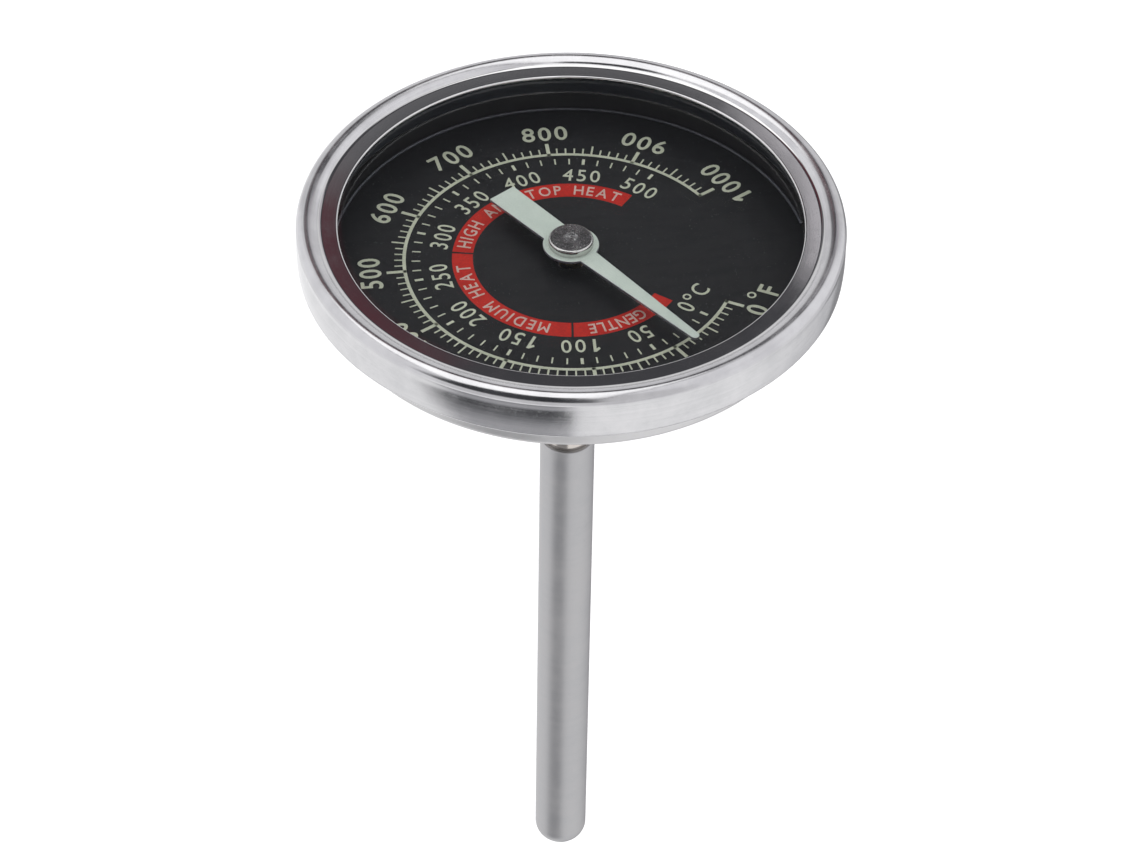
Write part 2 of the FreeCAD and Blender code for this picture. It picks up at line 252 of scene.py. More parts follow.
def window_glass():
    """Clear glass with a few smears. Light reaches the dial by way of a see-through stand-in."""
    material, graph, shader = new_material("window_glass", IOR=1.5)
    shader.inputs["Transmission Weight"].default_value = 1.0
    shader.inputs["Base Color"].default_value = (0.985, 0.99, 0.99, 1)
    smears = graph.noise(graph.stretched(graph.place(), 60.0, 200.0, 60.0), 1.0)
    graph.put(shader.inputs["Roughness"], graph.ease(smears, 0.55, 0.75, 0.0, 0.02))
    ray = graph.add("ShaderNodeLightPath")
    lighting = graph.math("MAXIMUM", ray.outputs["Is Shadow Ray"], ray.outputs["Is Diffuse Ray"])
    clear = graph.add("ShaderNodeBsdfTransparent", {"Color": (0.93, 0.94, 0.94, 1)})
    both = graph.add("ShaderNodeMixShader", {0: lighting, 1: shader.outputs[0], 2: clear.outputs[0]})
    graph.links.new(both.outputs[0], graph.nodes["Material Output"].inputs["Surface"])
    return material


MATERIALS = {
    "bezel": turned_steel(
        "spun_stainless", dark=(0.60, 0.595, 0.60, 1), light=(0.68, 0.675, 0.68, 1),
        smooth=0.03, rough=0.10, line_bump=0.03, anisotropic=0.0, line_scale=9.0, worn=0.3),
    "rim": turned_steel(
        "rolled_stainless", dark=(0.52, 0.515, 0.53, 1), light=(0.63, 0.625, 0.64, 1),
        smooth=0.13, rough=0.25, line_bump=0.06, anisotropic=0.0, line_scale=7.0, worn=0.3),
    "wall": turned_steel(
        "brushed_stainless", dark=(0.55, 0.55, 0.56, 1), light=(0.67, 0.665, 0.675, 1),
        smooth=0.12, rough=0.27, line_bump=0.22, anisotropic=0.1, line_scale=3.0, worn=0.6),
    "case_steel": turned_steel(
        "pressed_stainless", dark=(0.60, 0.595, 0.60, 1), light=(0.68, 0.675, 0.68, 1),
        smooth=0.42, rough=0.52, line_bump=0.10, anisotropic=0.0, line_scale=3.0, worn=0.3),
    "stem": turned_steel(
        "drawn_stainless", dark=(0.44, 0.44, 0.45, 1), light=(0.50, 0.495, 0.50, 1),
        smooth=0.40, rough=0.52, line_bump=0.06, anisotropic=0.0, line_scale=0.8, worn=0.1),
    "nickel": turned_steel(
        "bright_nickel", dark=(0.56, 0.52, 0.485, 1), light=(0.64, 0.60, 0.565, 1),
        smooth=0.14, rough=0.26, line_bump=0.05, anisotropic=0.2, line_scale=7.0),
    "cap": turned_steel(
        "polished_cap", dark=(0.20, 0.197, 0.20, 1), light=(0.40, 0.395, 0.395, 1),
        smooth=0.16, rough=0.34, line_bump=0.9, anisotropic=0.0, line_scale=6.0, worn=1.5),
    # The cap's upright side and rim edge: a brighter copy of the cap's steel, a painted highlight.
    "cap_painted_highlight": turned_steel(
        "polished_cap_painted_highlight", dark=(0.62, 0.61, 0.60, 1), light=(0.72, 0.71, 0.70, 1),
        smooth=0.10, rough=0.20, line_bump=0.08, anisotropic=0.0, line_scale=6.0),
    "case_black": speckled(
        "case_black", dark=(0.006, 0.006, 0.006, 1), light=(0.011, 0.011, 0.012, 1),
        scale=900.0, smooth=0.35, rough=0.55, bump=0.15, grain=0.02),
    "rubber": speckled(
        "gasket_rubber", dark=(0.020, 0.023, 0.029, 1), light=(0.030, 0.034, 0.042, 1),
        scale=1200.0, smooth=0.35, rough=0.5, bump=0.2, grain=0.02),
    "dial": dial_enamel(),
    "glass": window_glass(),
    "cream": speckled(
        "cream_ink", dark=(0.56, 0.59, 0.45, 1), light=(0.70, 0.72, 0.57, 1),
        scale=5000.0, smooth=0.6, rough=0.8, bump=0.2, grain=0.01),
    "red": speckled(
        "red_ink", dark=(0.48, 0.012, 0.006, 1), light=(0.66, 0.024, 0.012, 1),
        scale=2500.0, smooth=0.5, rough=0.7, bump=0.15, grain=0.01, Specular_IOR_Level=0.25),
    "band_cream": speckled(
        "band_cream_ink", dark=(0.62, 0.42, 0.36, 1), light=(0.74, 0.56, 0.50, 1),
        scale=5000.0, smooth=0.6, rough=0.8, bump=0.2, grain=0.01),
    "paint": speckled(
        "pointer_paint", dark=(0.62, 0.70, 0.625, 1), light=(0.71, 0.785, 0.705, 1),
        scale=3500.0, smooth=0.6, rough=0.8, bump=0.25, grain=0.01),
    "aluminium": speckled(
        "aluminium_edge", dark=(0.42, 0.40, 0.46, 1), light=(0.55, 0.53, 0.60, 1),
        scale=3000.0, smooth=0.35, rough=0.55, bump=0.2, grain=0.01, Metallic=0.85),
    "steel": speckled(
        "plain_steel", dark=(0.46, 0.46, 0.46, 1), light=(0.60, 0.60, 0.60, 1),
        scale=1500.0, smooth=0.25, rough=0.45, bump=0.15, grain=0.02, Metallic=1.0),
    "wire": speckled(
        "dark_wire", dark=(0.10, 0.105, 0.12, 1), light=(0.15, 0.155, 0.175, 1),
        scale=1500.0, smooth=0.4, rough=0.55, bump=0.15, grain=0.02, Metallic=1.0),
    "brass": speckled(
        "turned_brass", dark=(0.30, 0.22, 0.12, 1), light=(0.42, 0.32, 0.18, 1),
        scale=1500.0, smooth=0.2, rough=0.4, bump=0.15, grain=0.02, Metallic=1.0),
    "bimetal": speckled(
        "bimetal_strip", dark=(0.40, 0.36, 0.30, 1), light=(0.55, 0.50, 0.42, 1),
        scale=1800.0, smooth=0.3, rough=0.5, bump=0.2, grain=0.02, Metallic=1.0),
    "fibre": speckled(
        "seal_fibre", dark=(0.14, 0.045, 0.025, 1), light=(0.28, 0.11, 0.065, 1),
        scale=2500.0, smooth=0.7, rough=0.9, bump=0.5, grain=0.05),
}


# ---------------------------------------------------------------- mesh helpers

def finish_piece(piece, body, stands_for=()):
    """Puts a piece on its CAD body and says what it stands for."""
    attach(piece, body)
    if stands_for:
        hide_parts(*stands_for)
    return piece


def mesh_piece(name, points, faces, materials, kinds=None, sharp_deg=30):
    """An object from points in millimetres. kinds holds each face's material number."""
    mesh = bpy.data.meshes.new(name)
    mesh.from_pydata([Vector(p) * MM for p in points], [], faces)
    for material in materials:
        mesh.materials.append(MATERIALS[material])
    if kinds:
        mesh.polygons.foreach_set("material_index", kinds)
    mesh.polygons.foreach_set("use_smooth", [True] * len(faces))
    mesh.set_sharp_from_angle(angle=math.radians(sharp_deg))
    mesh.update()
    piece = bpy.data.objects.new(name, mesh)
    bpy.context.scene.collection.objects.link(piece)
    return piece


def polar(radius, degrees):
    turn = math.radians(degrees)
    return radius * math.cos(turn), radius * math.sin(turn)


def arc_spots(centre, radius, start_deg, end_deg, steps):
    """Points of an arc, from start_deg to end_deg."""
    spots = []
    for k in range(steps + 1):
        x, y = polar(radius, start_deg + (end_deg - start_deg) * k / steps)
        spots.append((centre[0] + x, centre[1] + y))
    return spots


def arc_corners(centre, radius, start_deg, end_deg, steps):
    """The same, as corners that need no rounding."""
    return [(x, y, 0.0) for x, y in arc_spots(centre, radius, start_deg, end_deg, steps)]


def rounded_outline(corners):
    """A closed outline through (r, z, rounding) corners, with loops that keep its straight runs flat."""
    path = []
    count = len(corners)
    for k in range(count):
        before = Vector(corners[k - 1][:2])
        here = Vector(corners[k][:2])
        after = Vector(corners[(k + 1) % count][:2])
        radius = corners[k][2]
        back = (before - here).normalized()
        ahead = (after - here).normalized()
        opening = back.angle(ahead)
        if radius <= 0 or opening > math.radians(179.5):
            path.append(here)
            continue
        reach = radius / math.tan(opening / 2)
        centre = here + (back + ahead).normalized() * (radius / math.sin(opening / 2))
        start = here + back * reach - centre
        end = here + ahead * reach - centre
        turn = start.angle_signed(end)
        steps = max(2, math.ceil(abs(math.degrees(turn)) / ARC_STEP_DEG))
        path.append(centre + start + back * SUPPORT)
        for step in range(steps + 1):
            path.append(centre + Matrix.Rotation(-turn * step / steps, 2) @ start)
        path.append(centre + end + ahead * SUPPORT)
    return [(p.x, p.y) for p in path]


def lathe(name, outline, materials, kind_of=None, nudge=None):
    """Sweeps a closed outline of (r, z) points round the Z axis. Points on the axis become one vertex."""
    rings = []
    points = []
    for r, z in outline:
        if r < 1e-6:
            rings.append([len(points)] * TURN_STEPS)
            points.append((0.0, 0.0, z))
            continue
        first = len(points)
        rings.append(list(range(first, first + TURN_STEPS)))
        for step in range(TURN_STEPS):
            x, y = polar(r, 360 * step / TURN_STEPS)
            lift = nudge(r, 360 * step / TURN_STEPS) if nudge else 0.0
            points.append((x, y, z + lift))
    faces = []
    kinds = []
    for k in range(len(outline)):
        here = rings[k]
        after = rings[(k + 1) % len(outline)]
        middle = [(outline[k][axis] + outline[(k + 1) % len(outline)][axis]) / 2 for axis in (0, 1)]
        kind = kind_of(*middle) if kind_of else 0
        for step in range(TURN_STEPS):
            onward = (step + 1) % TURN_STEPS
            corners = []
            for spot in (here[step], here[onward], after[onward], after[step]):
                if spot not in corners:
                    corners.append(spot)
            if len(corners) > 2:
                faces.append(corners)
                kinds.append(kind)
    return mesh_piece(name, points, faces, materials, kinds)


def plate_mesh(outlines, low_z, high_z, bevel=0.0):
    """A flat plate in millimetres from closed outlines, the inner ones holes, as points and faces."""
    curve = bpy.data.curves.new("plate", "CURVE")
    curve.dimensions = "2D"
    curve.fill_mode = "BOTH"
    curve.extrude = (high_z - low_z) / 2 - bevel
    curve.bevel_depth = bevel
    curve.bevel_resolution = 2
    curve.offset = -bevel
    for outline in outlines:
        spline = curve.splines.new("POLY")
        spline.points.add(len(outline) - 1)
        spline.use_cyclic_u = True
        for spot, (x, y) in zip(spline.points, outline):
            spot.co = (x, y, 0, 1)
    return curve_mesh(curve, (low_z + high_z) / 2)


def curve_mesh(curve, middle_z):
    """Points and faces of a 2D curve or a text, lifted to middle_z."""
    maker = bpy.data.objects.new("maker", curve)
    bpy.context.scene.collection.objects.link(maker)
    bpy.context.view_layer.update()
    made = bpy.data.meshes.new_from_object(maker.evaluated_get(bpy.context.evaluated_depsgraph_get()))
    points = [Vector((v.co.x, v.co.y, v.co.z + middle_z)) for v in made.vertices]
    faces = [list(p.vertices) for p in made.polygons]
    bpy.data.objects.remove(maker)
    bpy.data.meshes.remove(made)
    return points, faces


class Print:
    """Ink shapes that lie on the dial, gathered into one mesh."""

    def __init__(self, low_z):
        self.low_z = low_z
        self.points = []
        self.faces = []

    def add(self, points, faces):
        first = len(self.points)
        self.points += [tuple(p) for p in points]
        self.faces += [[first + v for v in face] for face in faces]

    def slab(self, outline):
        """A thin convex patch of ink."""
        count = len(outline)
        low = [(x, y, self.low_z) for x, y in outline]
        high = [(x, y, self.low_z + PRINT_T) for x, y in outline]
        sides = [[k, (k + 1) % count, count + (k + 1) % count, count + k] for k in range(count)]
        self.add(low + high, [list(range(count))[::-1], list(range(count, 2 * count))] + sides)

    def sector(self, inner_r, outer_r, start_deg, end_deg, step_deg=1.5):
        """A ring's sector as a strip of slabs that share their edges."""
        steps = max(1, math.ceil(abs(end_deg - start_deg) / step_deg))
        points = []
        for k in range(steps + 1):
            angle = start_deg + (end_deg - start_deg) * k / steps
            for radius in (inner_r, outer_r):
                x, y = polar(radius, angle)
                points += [(x, y, self.low_z), (x, y, self.low_z + PRINT_T)]
        faces = []
        for k in range(steps):
            a = 4 * k
            b = a + 4
            faces += [
                [a + 1, a + 3, b + 3, b + 1], [a, b, b + 2, a + 2],
                [a, a + 1, b + 1, b], [a + 2, b + 2, b + 3, a + 3],
            ]
        faces += [[0, 2, 3, 1], [4 * steps, 4 * steps + 1, 4 * steps + 3, 4 * steps + 2]]
        self.add(points, faces)

    def tick(self, inner_r, outer_r, angle, width):
        """A straight radial bar."""
        half = width / 2
        side = Vector(polar(half, angle + 90))
        inner = Vector(polar(inner_r, angle))
        outer = Vector(polar(outer_r, angle))
        self.slab([inner - side, outer - side, outer + side, inner + side])

    def glyph(self, character, centre, turn_deg, height, narrow, weight):
        """One character, centred on a spot of the dial.

        Weight thickens its strokes by shifted copies, each a hair higher than the last.
        """
        points, faces, _ = glyph_shape(character)
        turn = Matrix.Rotation(math.radians(turn_deg), 2)
        shifts = [(-weight, 0), (weight, 0), (0, -weight), (0, weight)] if weight else [(0, 0)]
        for copy, (across, along) in enumerate(shifts):
            high_z = self.low_z + PRINT_T + copy * COPY_STEP
            placed = []
            for p in points:
                x = (p.x + across) * height * narrow
                y = (p.y - 0.5 + along) * height
                flat = turn @ Vector((x, y))
                placed.append((flat.x + centre[0], flat.y + centre[1], high_z if p.z > 0 else self.low_z))
            self.add(placed, faces)

    def label(self, text, radius, angle, turn_deg, height, advance, narrow, weight):
        """A short number on a straight baseline."""
        middle = Vector(polar(radius, angle))
        along = Vector(polar(1, turn_deg))
        for k, character in enumerate(text):
            spot = middle + along * advance * (k - (len(text) - 1) / 2)
            self.glyph(character, spot, turn_deg, height, narrow, weight)

    def curved_text(self, text, radius, start_deg, end_deg, height, narrow, weight):
        """Words along an arc, from start_deg clockwise to end_deg, tops outward, in even gaps."""
        widths = [0.42 if c == " " else glyph_shape(c)[2] * narrow for c in text]
        room = math.radians(start_deg - end_deg) * radius
        gap = (room - sum(widths) * height) / (len(text) - 1)
        run = 0.0
        for character, width in zip(text, widths):
            angle = start_deg - math.degrees((run + width * height / 2) / radius)
            if character != " ":
                self.glyph(character, polar(radius, angle), angle - 90, height, narrow, weight)
            run += width * height + gap

    def ring(self, centre, outer_r, inner_r):
        """A small hollow circle, the degree sign."""
        first = len(self.points)
        self.sector(inner_r, outer_r, 0, 360, 15)
        for k in range(first, len(self.points)):
            x, y, z = self.points[k]
            self.points[k] = (x + centre[0], y + centre[1], z)

    def piece(self, name, material):
        made = mesh_piece(name, self.points, self.faces, [material])
        return finish_piece(made, "housing")


GLYPHS = {}


def one_shape():
    """The figure 1 with a flag, as points, faces and width. Its height is 1."""
    half = 0.085
    outline = [
        (half, 0.0), (half, 1.0), (-half, 1.0), (-half - 0.26, 0.76),
        (-half - 0.17, 0.64), (-half, 0.77), (-half, 0.0),
    ]
    count = len(outline)
    points = [Vector((x, y, 0.0)) for x, y in outline] + [Vector((x, y, 0.01)) for x, y in outline]
    sides = [[k, (k + 1) % count, count + (k + 1) % count, count + k] for k in range(count)]
    faces = [list(range(count))[::-1], list(range(count, 2 * count))] + sides
    return points, faces, 0.5


def glyph_shape(character):
    """Points, faces and width of a character whose height is 1, centred on x.

    All but the figure 1 come from Blender's own font.
    """
    if character == "1":
        GLYPHS[character] = one_shape()
    if character not in GLYPHS:
        curve = bpy.data.curves.new("glyph", "FONT")
        curve.body = character
        curve.resolution_u = 4
        curve.extrude = 0.01
        points, faces = curve_mesh(curve, 0.0)
        xs = [p.x for p in points]
        ys = [p.y for p in points]
        height = max(ys) - min(ys)
        middle = (max(xs) + min(xs)) / 2
        shifted = [Vector(((p.x - middle) / height, (p.y - min(ys)) / height, p.z)) for p in points]
        GLYPHS[character] = (shifted, faces, (max(xs) - min(xs)) / height)
    return GLYPHS[character]


# ---------------------------------------------------------------- case, bezel and window

def bezel():
    """Rolled sheet: rounded lip, flat ring, rounded rim, slightly barrelled wall and crimped hem."""
    crest_z = bezel_high.z
    hem_z = bezel_low.z
    hem_r = CASE_R + 0.6
    inner_z = LIP_Z - SHEET
    shoulder_r = BEZEL_R - CREST_R
    rise_w = CREST_R - FOOT_R
    rise_r = (rise_w ** 2 + CREST_H ** 2) / (2 * CREST_H)
    rise_deg = math.degrees(math.asin(rise_w / rise_r))
    shoulder_z = crest_z - shoulder_r
    wall_top_z = shoulder_z - 0.3
    wall_half = (wall_top_z - hem_z) / 2
    foot_share = 0.72                # of the rise's arc; the rest is the eased foot
    barrel = 0.14                    # how far the wall's ends stand in from its middle
    barrel_r = (wall_half ** 2 + barrel ** 2) / (2 * barrel)
    barrel_deg = math.degrees(math.asin(wall_half / barrel_r))
    outline = rounded_outline(
        [(LIP_R, LIP_Z, 0.22), (FOOT_R, LIP_Z, 1.1)]
        + arc_corners((CREST_R, crest_z - rise_r), rise_r, 88 + rise_deg * foot_share, 92, 8)
        + arc_corners((CREST_R, shoulder_z), shoulder_r, 88, 8, 22)
        + arc_corners((BEZEL_R - barrel_r, hem_z + wall_half), barrel_r, barrel_deg, 0.6 - barrel_deg, 8)
        + [
            (BEZEL_R - barrel, hem_z, 0.30),
            (hem_r, hem_z, 0.10),
            (hem_r, hem_z + SHEET, 0.0),
            (BEZEL_R - SHEET, hem_z + SHEET, 0.0),
            (BEZEL_R - SHEET, inner_z, 0.0),
            (LIP_R, inner_z, 0.22),
        ])

    def kind_of(r, z):
        if r > FOOT_R and z < shoulder_z + 0.3:
            return 2
        return 1 if r > FOOT_R + 0.05 else 0

    made = lathe("bezel", outline, ["bezel", "rim", "wall"], kind_of)
    finish_piece(made, "housing", ["bezel_ring"])


def case():
    """Pressed cup: satin steel outside, black inside, with the flange that the bezel grips."""
    floor_z = case_low.z
    top_z = case_high.z
    flange_r = case_high.x
    hole_r = 4.06
    outline = rounded_outline([
        (hole_r, floor_z, 0.0),
        (CASE_R, floor_z, 1.0),
        (CASE_R, top_z - CASE_WALL, 0.12),
        (flange_r, top_z - CASE_WALL, 0.0),
        (flange_r, top_z, 0.0),
        (CASE_R - CASE_WALL, top_z, 0.15),
        (CASE_R - CASE_WALL, floor_z + CASE_WALL, 0.55),
        (hole_r, floor_z + CASE_WALL, 0.0),
    ])

    def kind_of(r, z):
        outside = z < floor_z + CASE_WALL / 2 or r > CASE_R - CASE_WALL / 2
        return 0 if outside else 1

    made = lathe("case", outline, ["case_steel", "case_black"], kind_of)
    finish_piece(made, "housing", ["rear_case"])


def gasket():
    """Rubber ring with softened edges."""
    inner_r = CASE_R - CASE_WALL
    outline = rounded_outline([
        (inner_r, gasket_low.z, 0.12),
        (gasket_high.x, gasket_low.z, 0.12),
        (gasket_high.x, gasket_high.z, 0.12),
        (inner_r, gasket_high.z, 0.12),
    ])
    finish_piece(lathe("gasket", outline, ["rubber"]), "housing", ["lens_gasket"])


# ---------------------------------------------------------------- neck and stem

def neck():
    """Turned neck: threaded stub, flange with its seat at height 0, shank, spigot inside the stem."""
    seal_z = seal_low.z
    gap = 0.05                       # between the shoulder and the stem's mouth
    spigot_r = STEM_BORE_R - 0.03
    shoulder_z = stem_high.z - STEM_MOUTH_L - gap
    outline = rounded_outline([
        (NECK_BORE_R, neck_low.z, 0.0),
        (spigot_r, neck_low.z, 0.3),
        (spigot_r, shoulder_z, 0.0),
        (NECK_R, shoulder_z + gap, 0.0),
        (NECK_R, 0.0, 0.3),
        (neck_high.x, 0.0, 0.3),
        (neck_high.x, seal_z, 0.1),
        (NECK_THREAD_R, seal_z, 0.0),
        (NECK_THREAD_R, neck_high.z, 0.3),
        (NECK_BORE_R, neck_high.z, 0.0),
    ])
    finish_piece(lathe("neck", outline, ["nickel"]), "housing", ["neck_fitting"])


def stem():
    """Drawn tube with a rounded closed tip and a rolled mouth round the neck."""
    tip_z = stem_low.z
    top_z = stem_high.z
    floor_z = tip_z + 0.8
    mouth_r = NECK_R + 0.015
    mouth_z = top_z - STEM_MOUTH_L
    outline = rounded_outline([
        (0.0, tip_z, 0.0),
        (STEM_R, tip_z, 3.1),
        (STEM_R, top_z, 0.15),
        (mouth_r, top_z, 0.04),
        (mouth_r, mouth_z, 0.0),
        (STEM_BORE_R, mouth_z, 0.0),
        (STEM_BORE_R, floor_z, 2.4),
        (0.0, floor_z, 0.0),
    ])
    finish_piece(lathe("stem", outline, ["stem"]), "housing", ["stem_tube"])


# ---------------------------------------------------------------- pointer and cap

def line_meets_circle(start, end, radius):
    """Where a run from inside a circle about the origin to outside it crosses the circle."""
    low, high = 0.0, 1.0
    for _ in range(40):
        middle = (low + high) / 2
        if start.lerp(end, middle).length < radius:
            low = middle
        else:
            high = middle
    return start.lerp(end, low)


def pointer():
    """Stamped pointer with a pale painted face and bare edges, turned to its rest angle."""
    hub_r = 3.9
    hole_r = 1.34
    edge_bevel = 0.05
    tip_r = 25.9
    tip_half = 0.62
    root_half = 1.6
    tail_r = 14.7
    tail_root_half = 2.05
    tail_half = 2.2
    tail_rounding = 0.15
    tip_centre = tip_r - tip_half
    needle_start = line_meets_circle(Vector((0, root_half)), Vector((tip_centre, tip_half)), hub_r)
    tail_start = line_meets_circle(Vector((0, tail_root_half)), Vector((-tail_r, tail_half)), hub_r)
    first = math.degrees(math.atan2(needle_start.y, needle_start.x))
    last = math.degrees(math.atan2(tail_start.y, tail_start.x))
    tail_corner = (tail_rounding - tail_r, tail_half - tail_rounding)
    upper = (
        arc_spots((tip_centre, 0), tip_half, 0, 90, 6)
        + arc_spots((0, 0), hub_r, first, last, 24)
        + arc_spots(tail_corner, tail_rounding, 90, 180, 4)
    )
    lower = [(x, -y) for x, y in reversed(upper)]
    outline = upper + [spot for spot in lower if spot[1] < -1e-9]
    turn = Matrix.Rotation(math.radians(REST_DEG), 2)
    outline = [tuple(turn @ Vector(spot)) for spot in outline]
    hole = arc_spots((0, 0), hole_r, 0, 360, 48)[:-1]
    points, faces = plate_mesh([outline, hole], pointer_low.z, pointer_high.z, edge_bevel)
    made = mesh_piece("pointer_sheet", points, faces, ["paint", "aluminium"], sharp_deg=35)
    for face in made.data.polygons:
        face.material_index = 0 if face.normal.z > 0.8 else 1
    finish_piece(made, "pointer_assembly", ["pointer"])


def cap():
    """Pressed cap: flat scratched top, rounded rim, upright side and an uneven staked dimple. The side and
    the rim's outer edge take a brighter copy of the cap's steel, a painted highlight.
    """
    top_z = cap_high.z
    low_z = cap_low.z
    bore_r = 0.62
    roof_z = top_z - 0.4
    dimple_r = 1.0
    outline = rounded_outline([
        (bore_r, low_z, 0.0),
        (CAP_R, low_z, 0.05),
        (CAP_R, top_z, 0.32),
        (dimple_r, top_z, 0.2),
        (0.72, top_z - 0.22, 0.15),
        (0.0, top_z - 0.26, 0.0),
        (0.0, roof_z, 0.0),
        (bore_r, roof_z, 0.0),
    ])

    def nudge(r, degrees):
        """Makes the dimple lopsided."""
        if r > dimple_r + 0.1 or r < 0.05:
            return 0.0
        turn = math.radians(degrees)
        fade = max(0.0, 1 - abs(r - 0.55) / 0.5)
        return -0.05 * fade * (1 + math.sin(2 * turn + 0.6) + 0.5 * math.sin(5 * turn))

    # Faces near the outer edge take the brighter copy of the steel, the painted highlight.
    def kind_of(r, z):
        return 1 if r > CAP_R - 0.25 else 0

    made = lathe("cap", outline, ["cap", "cap_painted_highlight"], kind_of, nudge)
    finish_piece(made, "pointer_assembly", ["pointer_cap"])


# ---------------------------------------------------------------- dial print

F_START_DEG = 240.0              # 0 F, and the scale runs clockwise
DEG_PER_F = 0.3
F_ARC_LOW_R = 22.91              # inner and outer edge of the Fahrenheit arc
F_ARC_HIGH_R = 23.39
F_TICK_R = 23.3                  # where its short ticks begin
C_TICK_LOW_R = 20.9
C_TICK_HIGH_R = 22.1
F_NUMBER_R = 27.95
C_NUMBER_R = 18.4
BAND_LOW_R = 13.6
BAND_HIGH_R = 16.5
WORDS_R = 15.05


def angle_f(fahrenheit):
    return F_START_DEG - DEG_PER_F * fahrenheit


def angle_c(celsius):
    return angle_f(celsius * 9 / 5 + 32)


def outer_scale():
    """The arc and its Fahrenheit ticks."""
    ink = Print(DIAL_Z)
    past_end = 0.6                   # the arc runs on to the outer edge of its end ticks
    ink.sector(F_ARC_LOW_R, F_ARC_HIGH_R, angle_f(0) + past_end, angle_f(1000) - past_end)
    for degrees in range(0, 1001, 10):
        if degrees % 100 == 0:
            ink.tick(22.95, 25.7, angle_f(degrees), 0.52)
        elif degrees % 50 == 0:
            ink.tick(F_TICK_R, 25.2, angle_f(degrees), 0.27)
        else:
            ink.tick(F_TICK_R, 24.5, angle_f(degrees), 0.23)
    ink.piece("scale_f", "cream")


def inner_scale():
    """Detached Celsius ticks."""
    ink = Print(DIAL_Z)
    for degrees in range(0, 501, 10):
        width = 0.42 if degrees % 50 == 0 else 0.22
        ink.tick(C_TICK_LOW_R, C_TICK_HIGH_R, angle_c(degrees), width)
    ink.piece("scale_c", "cream")


def outer_numbers():
    """Fahrenheit figures; the first and the last two stand with their tops inward."""
    ink = Print(DIAL_Z)
    height, advance, narrow, weight = 3.0, 2.36, 0.93, 0.022
    for degrees in range(100, 1001, 100):
        angle = angle_f(degrees)
        turn = angle + 90 if degrees in (100, 900, 1000) else angle - 90
        ink.label(str(degrees), F_NUMBER_R, angle, turn, height, advance, narrow, weight)
    tilt = -30.0
    ink.glyph("0", polar(27.7, 240.0), tilt, height, narrow, weight)
    ink.ring(polar(26.0, 245.8), 0.66, 0.38)
    ink.glyph("F", polar(28.1, 249.3), tilt, height, narrow, weight)
    ink.piece("numbers_f", "cream")


def inner_numbers():
    """Celsius figures, tops outward."""
    ink = Print(DIAL_Z)
    height, advance, narrow, weight = 2.55, 1.93, 0.86, 0.008
    for degrees in range(50, 501, 50):
        angle = angle_c(degrees)
        ink.label(str(degrees), C_NUMBER_R, angle, angle - 90, height, advance, narrow, weight)
    tilt = -39.6
    zero = Vector(polar(18.7, 230.1))
    along = Vector(polar(1, tilt))
    across = Vector(polar(1, tilt + 90))
    ink.glyph("0", zero, tilt, height, narrow, weight)
    ink.ring(zero + along * 1.87 + across * 0.95, 0.62, 0.36)
    ink.glyph("C", polar(18.9, 242.6), tilt - 3, height, narrow, weight)
    ink.piece("numbers_c", "cream")


def heat_band():
    """Red band in three zones with generic words on it."""
    band = Print(DIAL_Z)
    words = Print(DIAL_Z + PRINT_T)
    half_gap = 0.6                   # degrees, half the dark line between two zones
    medium_deg, top_deg = 173.2, 78.6
    band.sector(BAND_LOW_R, BAND_HIGH_R, angle_c(0), medium_deg + half_gap)
    band.sector(BAND_LOW_R, BAND_HIGH_R, medium_deg - half_gap, top_deg + half_gap)
    band.sector(BAND_LOW_R, BAND_HIGH_R, top_deg - half_gap, angle_c(500))
    height, narrow, weight = 1.9, 0.82, 0.015
    words.curved_text("GENTLE", WORDS_R, 214.0, 182.0, height, narrow, weight)
    words.curved_text("MEDIUM HEAT", WORDS_R, 161.0, 89.0, height, narrow, weight)
    words.curved_text("HIGH AND TOP HEAT", WORDS_R, 74.0, -35.0, height, narrow, weight)
    band.piece("heat_band", "red")
    words.piece("heat_words", "band_cream")


# ---------------------------------------------------------------- CAD nodes that stay

def keep_nodes():
    """Gives every CAD node that is still shown its own material."""
    finishes = {
        "glass": ["glass_lens"],
        "dial": ["dial_plate"],
        "steel": [
            "dial_support_ring", "neck_washer", "neck_nut", "spindle", "helix_anchor", "helix_collar",
        ],
        "wire": ["dial_retaining_ring"],
        "brass": ["upper_bearing", "lower_bearing", "stem_guide", "thrust_collar", "pointer_hub"],
        "bimetal": ["bimetal_helix"],
        "fibre": ["case_seal"],
    }
    for finish, names in finishes.items():
        for name in names:
            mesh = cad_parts[name].data
            mesh.materials.clear()
            mesh.materials.append(MATERIALS[finish])


# ---------------------------------------------------------------- studio

# Directions are told from the main camera's side: degrees to the right of straight back or of straight
# front, degrees of elevation, and runs to the right and to the back per rise. The cards are placed by what
# the flat ring and the window mirror towards that camera. Other angles mirror other parts of the room.
WINDOW_CARD_SLOPE = 1.213        # run to the back per rise of the spot that the window's middle mirrors
WINDOW_CARD = 0.0907             # half width per rise of the dark card that the window mirrors

BACK_GLOW = (0.85, 0.85, 0.86, 1)
SIDE_GLOW = (1.05, 1.05, 1.07, 1)
WINDOW_CARD_TONE = (0.06, 0.06, 0.066, 1)
LOW_CARD_TONE = (0.20, 0.20, 0.21, 1)
HIGH_CARD_TONE = (0.080, 0.080, 0.088, 1)
WINE_CARD_TONE = (0.125, 0.052, 0.064, 1)
LAMP_EDGE_TONE = (0.66, 0.64, 0.67, 1)
LAMP_FRAME_TONE = (0.45, 0.45, 0.46, 1)
LAMP_TONE = (1.7, 1.7, 1.7, 1)
PAPER_GLOW = (1.12, 1.12, 1.13, 1)
FAR_PAPER_GLOW = (0.62, 0.62, 0.64, 1)
PANEL_TONE = (0.30, 0.30, 0.31, 1)
STRIP_TONE = (0.05, 0.052, 0.058, 1)
STRIP_FOOT_TONE = (0.50, 0.50, 0.52, 1)
SEEN_PAPER = (0.93, 0.93, 0.93, 1)


